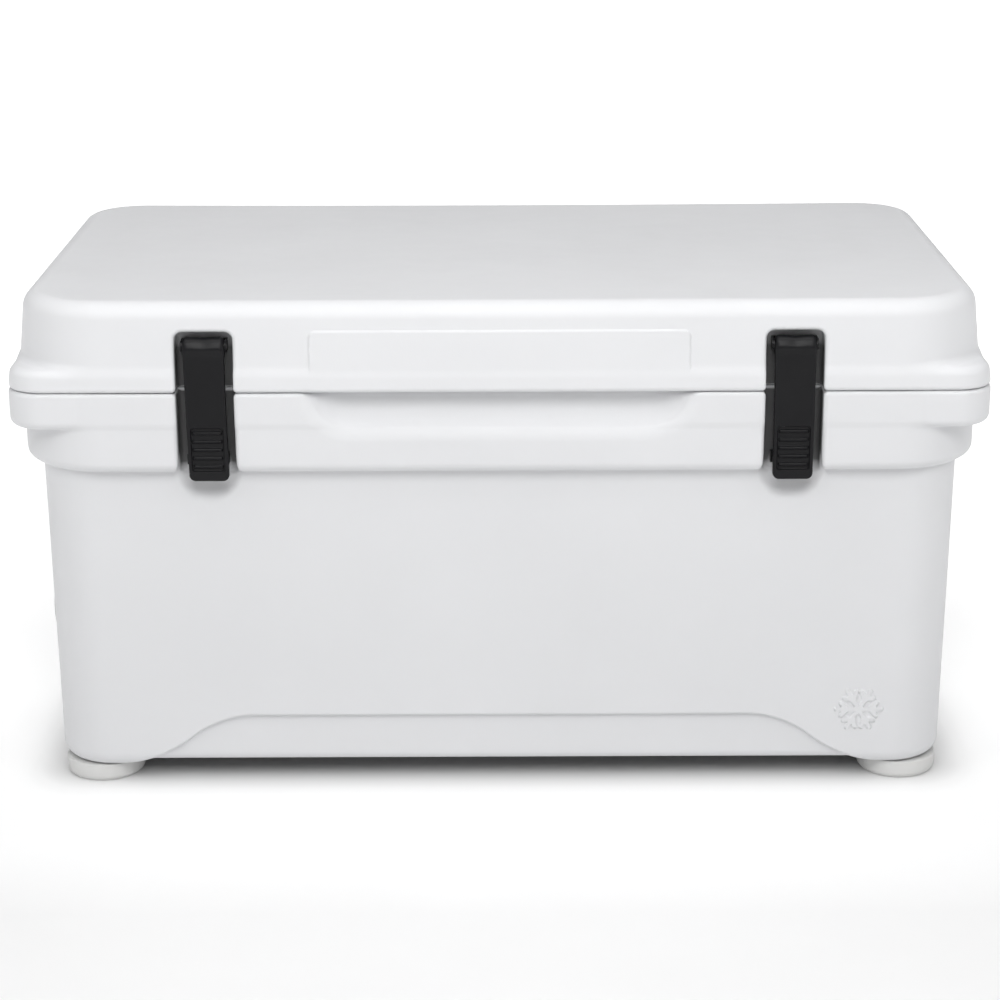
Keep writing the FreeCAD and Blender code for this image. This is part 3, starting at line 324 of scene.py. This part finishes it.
def surface_net(field, axes):
    """Quads round a field's surface: one point in each grid cell that it crosses."""
    grids = np.meshgrid(*axes, indexing="ij", sparse=True)
    values = field(*grids).astype(np.float32)
    inside = values < 0
    count = sum(
        inside[a:a - 1 or None, b:b - 1 or None, c:c - 1 or None].astype(np.int8)
        for a in (0, 1) for b in (0, 1) for c in (0, 1)
    )
    cells = np.argwhere((count > 0) & (count < 8))
    number = np.full(count.shape, -1, np.int64)
    number[tuple(cells.T)] = np.arange(len(cells))
    corner_at = np.array([[k >> 2 & 1, k >> 1 & 1, k & 1] for k in range(8)])
    total, hits = np.zeros((len(cells), 3)), np.zeros(len(cells))
    spots, depths = [], []
    for shift in corner_at:
        index = cells + shift
        spots.append(np.stack([axes[n][index[:, n]] for n in range(3)], 1))
        depths.append(values[tuple(index.T)].astype(float))
    for a, b in EDGES:
        crossed = (depths[a] < 0) != (depths[b] < 0)
        share = np.where(crossed, depths[a] / np.where(crossed, depths[a] - depths[b], 1), 0)
        total += np.where(crossed[:, None], spots[a] + (spots[b] - spots[a]) * share[:, None], 0)
        hits += crossed
    points = total / hits[:, None]
    quads = []
    for axis in range(3):
        one, two = (axis + 1) % 3, (axis + 2) % 3
        low = [slice(1, -1)] * 3
        low[axis] = slice(0, -1)
        high = list(low)
        high[axis] = slice(1, None)
        starts, ends = inside[tuple(low)], inside[tuple(high)]
        where = np.argwhere(starts != ends)
        leaving = starts[tuple(where.T)]
        where = where + np.array([0 if n == axis else 1 for n in range(3)])
        ring = []
        for back_one, back_two in ((1, 1), (0, 1), (0, 0), (1, 0)):
            cell = where.copy()
            cell[:, one] -= back_one
            cell[:, two] -= back_two
            ring.append(number[tuple(cell.T)])
        ring = np.stack(ring, 1)
        quads.append(np.where(leaving[:, None], ring, ring[:, ::-1]))
    return points, np.concatenate(quads)


def slope(field, points):
    step = 0.02
    sides = []
    for axis in range(3):
        shift = np.zeros(3)
        shift[axis] = step
        ahead, behind = (points + shift).T, (points - shift).T
        sides.append((field(*ahead) - field(*behind)) / (2 * step))
    return np.stack(sides, 1)


def settle(field, points, rounds=4, reach=0.8):
    """Moves points along the field's slope until they lie on its surface."""
    for _ in range(rounds):
        rise = slope(field, points)
        away = field(*points.T)[:, None] * rise / np.maximum((rise ** 2).sum(1, keepdims=True), 0.05)
        length = np.linalg.norm(away, axis=1, keepdims=True)
        points = points - away * np.minimum(1, reach / np.maximum(length, 1e-9))
    return points


def mesh_of(name, field, axes, keep=1.0, shift=(0, 0, 0)):
    """A closed mesh of a field, thinned to a share of its faces where it is flat."""
    points, quads = surface_net(field, axes)
    points = settle(field, points)
    mesh = bpy.data.meshes.new(name)
    mesh.from_pydata((points / MM).tolist(), [], quads.tolist())
    mesh.update()
    piece = bpy.data.objects.new(name, mesh)
    bpy.context.scene.collection.objects.link(piece)
    if keep < 1:
        thin = piece.modifiers.new("thin", "DECIMATE")
        thin.ratio = keep
        bpy.context.view_layer.update()
        graph = bpy.context.evaluated_depsgraph_get()
        thinned = bpy.data.meshes.new_from_object(piece.evaluated_get(graph))
        piece.modifiers.clear()
        piece.data = thinned
        mesh = thinned
        mesh.name = name
        points = np.empty(len(mesh.vertices) * 3, np.float32)
        mesh.vertices.foreach_get("co", points)
        points = settle(field, points.reshape(-1, 3).astype(float) * MM, 2, 0.1)
    rise = slope(field, points)
    normals = rise / np.maximum(np.linalg.norm(rise, axis=1, keepdims=True), 1e-9)
    mesh.vertices.foreach_set("co", ((points + np.array(shift)) / MM).astype(np.float32).ravel())
    mesh.polygons.foreach_set("use_smooth", np.ones(len(mesh.polygons), bool))
    mesh.update()
    mesh.normals_split_custom_set_from_vertices(normals.tolist())
    return piece


def lathe(name, profile, centre, steps=96):
    """Turns a profile of (radius, height) round an upright axis."""
    points, faces = [], []
    for radius, height in profile:
        for n in range(steps):
            angle = 2 * math.pi * n / steps
            local = (radius * math.cos(angle), radius * math.sin(angle), height)
            points.append([(centre[k] + local[k]) / MM for k in range(3)])
    for row in range(len(profile) - 1):
        for n in range(steps):
            after = (n + 1) % steps
            here, above = row * steps, (row + 1) * steps
            faces.append((here + n, here + after, above + after, above + n))
    faces.append(tuple(range(steps))[::-1])
    last = (len(profile) - 1) * steps
    faces.append(tuple(range(last, last + steps)))
    mesh = bpy.data.meshes.new(name)
    mesh.from_pydata(points, [], faces)
    mesh.update()
    mesh.polygons.foreach_set("use_smooth", np.ones(len(mesh.polygons), bool))
    piece = bpy.data.objects.new(name, mesh)
    bpy.context.scene.collection.objects.link(piece)
    return piece


def arc(centre_radius, centre_height, size, start, end, steps=6):
    """Points of a round corner in a lathe profile, from one angle to another in degrees."""
    angles = [math.radians(start + (end - start) * n / steps) for n in range(steps + 1)]
    return [(centre_radius + size * math.cos(a), centre_height + size * math.sin(a)) for a in angles]


# ---------------------------------------------------------------- materials
def new_node(tree, kind, inputs, **settings):
    """A shader node. Each of its inputs is given by name or number, as a constant or as an output to link."""
    node = tree.nodes.new("ShaderNode" + kind)
    for name, value in settings.items():
        setattr(node, name, value)
    for key, value in inputs.items():
        if isinstance(value, bpy.types.NodeSocket):
            tree.links.new(value, node.inputs[key])
        else:
            node.inputs[key].default_value = value
    return node


def ramp(tree, value, start, end, low=0.0, high=1.0):
    """A value mapped from start to end onto low to high."""
    inputs = {"Value": value, "From Min": start, "From Max": end, "To Min": low, "To Max": high}
    return new_node(tree, "MapRange", inputs).outputs["Result"]


def calculate(tree, operation, one, other=0.0):
    return new_node(tree, "Math", {0: one, 1: other}, operation=operation).outputs["Value"]


def blend_colors(tree, factor, one, other):
    inputs = {"Factor": factor, "A": one, "B": other}
    return new_node(tree, "Mix", inputs, data_type="RGBA").outputs["Result"]


def plastic(name, color, second, rough, rough_spread, grain, grain_depth,
            scale=1.0, waviness=0.0, gloss=0.5):
    """Moulded plastic or rubber: slow colour drift, uneven gloss, fine grain and slight waves."""
    material = bpy.data.materials.new(name)
    material.use_nodes = True
    tree = material.node_tree
    shader = tree.nodes["Principled BSDF"]
    place = tree.nodes.new("ShaderNodeTexCoord").outputs["Object"]

    def noise(size, detail=3.0, roughness=0.5):
        inputs = {"Vector": place, "Scale": size, "Detail": detail, "Roughness": roughness}
        return new_node(tree, "TexNoise", inputs).outputs["Fac"]

    def bump(height, distance, **below):
        inputs = {"Strength": 1, "Distance": distance, "Height": height, **below}
        return new_node(tree, "Bump", inputs).outputs["Normal"]

    drift = ramp(tree, noise(7 * scale, 4), 0.3, 0.7)
    tree.links.new(blend_colors(tree, drift, (*color, 1), (*second, 1)), shader.inputs["Base Color"])
    sheen = ramp(tree, noise(38 * scale, 5, 0.6), 0.3, 0.7, rough - rough_spread, rough + rough_spread)
    tree.links.new(sheen, shader.inputs["Roughness"])
    shader.inputs["Specular IOR Level"].default_value = gloss
    waves = {"Normal": bump(noise(14 * scale, 1), waviness)} if waviness else {}
    tree.links.new(bump(noise(grain, 2), grain_depth, **waves), shader.inputs["Normal"])
    return material


def metal(name, color, rough):
    material = plastic(name, color, tuple(0.85 * c for c in color), rough, 0.08, 3000, 0.00001)
    material.node_tree.nodes["Principled BSDF"].inputs["Metallic"].default_value = 1
    return material


def shade_slots(material):
    """Paints shade into the narrow latch slots, where next to no light gets in."""
    tree = material.node_tree
    shader = tree.nodes["Principled BSDF"]
    place = tree.nodes.new("ShaderNodeTexCoord").outputs["Object"]
    x, y, z = new_node(tree, "SeparateXYZ", {"Vector": place}).outputs
    side = calculate(tree, "SUBTRACT", calculate(tree, "ABSOLUTE", x), LATCH_X / MM)
    stretches = (
        (calculate(tree, "ABSOLUTE", side), SLOT_HALF_X + 0.8, SLOT_HALF_X + 0.1),
        (y, -HALF_Y + 1, -HALF_Y + 9),
        (y, -SLOT_Y + 0.9, -SLOT_Y + 0.2),
        (z, SLOT_LOW, SLOT_LOW + 7),
        (z, SLOT_HIGH - 2, SLOT_HIGH - 14),
    )
    shade = SLOT_SHADE
    for value, start, end in stretches:
        shade = calculate(tree, "MULTIPLY", ramp(tree, value, start / MM, end / MM), shade)
    plain = shader.inputs["Base Color"].links[0].from_socket
    tree.links.new(blend_colors(tree, shade, plain, SLOT_SHADE_COLOR), shader.inputs["Base Color"])


WHITE = plastic("moulded_white", (0.70, 0.704, 0.717), (0.68, 0.684, 0.697), 0.45, 0.07, 900, 0.00003,
                waviness=0.0006, gloss=0.3)
# painted shade darkens the latch slots of the white shells
shade_slots(WHITE)
FOOT = plastic("foot_rubber", (0.68, 0.68, 0.67), (0.65, 0.65, 0.64), 0.55, 0.06, 1400, 0.00003)
DRAIN = plastic("drain_plastic", (0.64, 0.64, 0.645), (0.61, 0.61, 0.615), 0.45, 0.06, 1200, 0.00002)
BLACK = plastic("latch_rubber", (0.005, 0.005, 0.006), (0.007, 0.007, 0.008), 0.36, 0.05, 1500, 0.00003,
                scale=2.0, gloss=0.2)
DARK = plastic("bush_plastic", (0.03, 0.03, 0.03), (0.045, 0.045, 0.045), 0.5, 0.08, 1500, 0.00003)
GREY = plastic("gasket_rubber", (0.10, 0.105, 0.11), (0.13, 0.135, 0.14), 0.6, 0.08, 1800, 0.00003)
FOAM = plastic("foam_core", (0.75, 0.66, 0.42), (0.68, 0.58, 0.35), 0.9, 0.05, 600, 0.0003)
STEEL = metal("steel", (0.62, 0.62, 0.63), 0.3)
BRASS = metal("brass", (0.75, 0.58, 0.28), 0.32)
SLOT_MATERIALS = {
    "shell_white": WHITE, "foot_white": FOOT, "drain_white": DRAIN, "foam": FOAM, "latch_black": BLACK,
    "bush_black": DARK, "gasket_grey": GREY, "steel": STEEL, "brass": BRASS,
}


def dress(piece, material, body, slot, *nodes):
    piece.data.materials.clear()
    piece.data.materials.append(material)
    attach(piece, body)
    if nodes:
        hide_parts(*nodes)
    return piece


for row in frame["record"]["subparts"]:
    piece = frame["nodes"][row["node"]]
    for slot in piece.material_slots:
        slot.material = SLOT_MATERIALS[row["material_slot"]]

# ---------------------------------------------------------------- moulded shells
LATCH_NEAR, LATCH_FAR = LATCH_X - SLOT_HALF_X - 6, LATCH_X + SLOT_HALF_X + 6
ALONG_X = both_sides(
    (LATCH_NEAR, LATCH_FAR, 1.6), (100, 145, 2.6), (LATCH_FAR, 262, 2.4), (262, HALF_X + 2, 3.2),
    (179, 181, 0.7), (59, 61, 0.7), (299, 306, 0.9),
) + ((EMBLEM_X - 20, EMBLEM_X + 20, 1.0),)
ALONG_Y = (
    (-HALF_Y - 3, -HALF_Y + 20, 1.5), (-HALF_Y + 20, -95, 4),
    (95, HINGE_Y - 20, 4), (HINGE_Y - 20, HINGE_Y + 12, 1.4),
)
body_axes = (
    planes(-HALF_X - 4, HALF_X + 4, 11, *ALONG_X),
    planes(-HALF_Y - 4, HINGE_Y + 12, 9, *ALONG_Y, *both_sides((58, 74, 2.2)), (-30, 30, 4)),
    planes(BASE_Z - 3, SEAM + 10, 10, (BASE_Z - 3, 32, 1.8), (32, 78, 1.3), (78, 112, 4), (112, 200, 9),
           (200, 236, 2.4), (236, SEAM + 10, 1.5)),
)
body = mesh_of("chest_body", body_shell, body_axes, 0.45)
dress(body, WHITE, "chest", "shell_white", "body_shell")

lid_axes = (
    planes(-HALF_X - 4, HALF_X + 4, 11, *ALONG_X, *both_sides((134, 140, 1.2))),
    planes(-HALF_Y - 4, HINGE_Y + 13, 9, *ALONG_Y, *both_sides((145, 172, 2))),
    planes(PLUG_Z - 4, LID_TOP + 3, 2, (SEAM - 8, SEAM + 14, 1.2), (SEAM + 44, SEAM + 48, 1)),
)
lid = mesh_of("chest_lid", lid_shell, lid_axes, 0.45)
dress(lid, WHITE, "lid", "shell_white", "lid_shell")

# ---------------------------------------------------------------- levers
lever_axes = (
    planes(-LEVER_HALF_X - 1, LEVER_HALF_X + 3, 1.1),
    planes(LATCH_Y - 12, LATCH_Y + 8, 0.8),
    planes(LEVER_TIP - 1, LATCH_Z + 8.5, 1.6, (LEVER_TIP - 1, GRIP_HIGH + 2, 0.6),
           (LATCH_Z - 8, LATCH_Z + 8.5, 1)),
)
for side, across, tilt in (("left", -LATCH_X, 1.6), ("right", LATCH_X, 0.0)):
    shape = functools.partial(lever, tilt=tilt)
    piece = mesh_of("lever_cover_" + side, shape, lever_axes, 0.6, (across, 0, 0))
    dress(piece, BLACK, "latch_" + side, "latch_black", "lever_" + side)

# ---------------------------------------------------------------- feet
def foot_profile(radius, height):
    """A foot's outline from the middle of its screw hole, over its tread and rim, to the middle of its top."""
    hole = [(0.5, 6), (6.6, 6)] + arc(8, 1, 1, 180, 270, 3)
    tread = [(16, 0)] + arc(radius - 5, 5, 5, 270, 360, 8)
    return hole + tread + arc(radius - 1.2, height - 1.3, 1.2, 0, 90, 4) + [(0.5, height - 0.1)]


for node in ("foot_front_left", "foot_front_right", "foot_rear_left", "foot_rear_right"):
    low, high = node_box(node)
    middle = ((low[0] + high[0]) / 2, (low[1] + high[1]) / 2, 0)
    profile = foot_profile((high[0] - low[0]) / 2, high[2] - low[2])
    piece = lathe(node.replace("foot", "round_foot"), profile, middle)
    dress(piece, FOOT, "chest", "foot_white", node)

# ---------------------------------------------------------------- floor, light and camera
# painted shadow on the floor under the chest: its corner, how fast it fades out, and its colour
SHADOW_CORNER, SHADOW_FADE, SHADOW_COLOR = (0.31, 0.15, 0), 0.045, (0.45, 0.45, 0.45, 1)
GLOW_STOPS = ((0.0, 0.0), (0.06, 0.5), (0.25, 0.6), (0.8, 0.75), (1.0, 0.95))
FRONT_GLOW = 0.25


def floor_paint():
    """Pale paint with a painted shadow under the chest, and a glow that keeps the floor white further out."""
    paint = plastic("floor_paint", (0.69, 0.69, 0.69), (0.675, 0.675, 0.675), 0.7, 0.05, 400, 0.00002,
                    gloss=0.1)
    tree = paint.node_tree
    shader = tree.nodes["Principled BSDF"]

    def vector(operation, *inputs):
        return new_node(tree, "VectorMath", dict(enumerate(inputs)), operation=operation).outputs

    position = tree.nodes.new("ShaderNodeNewGeometry").outputs["Position"]
    away = vector("SUBTRACT", vector("ABSOLUTE", position)["Vector"], SHADOW_CORNER)["Vector"]
    reach = vector("LENGTH", vector("MAXIMUM", away, (0, 0, 0))["Vector"])["Value"]

    glow = new_node(tree, "ValToRGB", {"Fac": reach})
    marks = glow.color_ramp.elements
    marks.remove(marks[1])
    for distance, light in GLOW_STOPS:
        mark = marks.new(distance) if distance else marks[0]
        mark.color = (light, light, light, 1)
    tree.links.new(glow.outputs["Color"], shader.inputs["Emission Color"])
    y = new_node(tree, "SeparateXYZ", {"Vector": position}).outputs["Y"]
    strength = calculate(tree, "MAXIMUM", ramp(tree, y, -0.4, 0.0, FRONT_GLOW), ramp(tree, reach, 0.6, 1.4))
    tree.links.new(strength, shader.inputs["Emission Strength"])

    # painted shadow: the floor's colour darkens to the shadow colour under the chest
    plain = shader.inputs["Base Color"].links[0].from_socket
    lit = ramp(tree, reach, 0.0, SHADOW_FADE)
    tree.links.new(blend_colors(tree, lit, SHADOW_COLOR, plain), shader.inputs["Base Color"])
    return paint


bpy.ops.mesh.primitive_plane_add(size=14, location=(0, 2, 0))
floor = bpy.context.object
floor.name = "floor"
floor.data.materials.append(floor_paint())


def area_light(name, place, target, size, power):
    data = bpy.data.lights.new(name, "AREA")
    data.shape = "RECTANGLE"
    data.size, data.size_y = size
    data.energy = power
    lamp = bpy.data.objects.new(name, data)
    lamp.location = place
    lamp.rotation_euler = (Vector(target) - Vector(place)).to_track_quat("-Z", "Y").to_euler()
    bpy.context.scene.collection.objects.link(lamp)


area_light("top_softbox", (0, -0.3, 2.5), (0, 0, 0.2), (2.4, 1.8), 26)
area_light("front_softbox", (0, -1.5, 1.55), (0, 0, 0.2), (1.3, 0.8), 17)
area_light("left_softbox", (-2.0, -1.5, 2.1), (0, 0, 0.2), (1.4, 1.4), 13)
area_light("right_softbox", (2.0, -1.5, 2.1), (0, 0, 0.2), (1.4, 1.4), 13)

world = bpy.data.worlds.new("studio")
world.use_nodes = True
world.node_tree.nodes["Background"].inputs["Color"].default_value = (1, 1, 1, 1)
world.node_tree.nodes["Background"].inputs["Strength"].default_value = 0.25
bpy.context.scene.world = world
bpy.context.scene.view_settings.view_transform = "Standard"

CAMERA_ROLL, CAMERA_DROP = math.radians(-0.22), math.radians(17.53)
camera_data = bpy.data.cameras.new("photo_view")
camera_data.lens = 88.47
camera_data.sensor_width = 36
camera = bpy.data.objects.new("photo_view", camera_data)
camera.location = (0, -1.896, 0.7645)
tilt = Matrix.Rotation(math.pi / 2 - CAMERA_DROP, 3, "X") @ Matrix.Rotation(CAMERA_ROLL, 3, "Z")
camera.rotation_euler = tilt.to_euler()
bpy.context.scene.collection.objects.link(camera)
bpy.context.scene.camera = camera

bpy.context.view_layer.update()
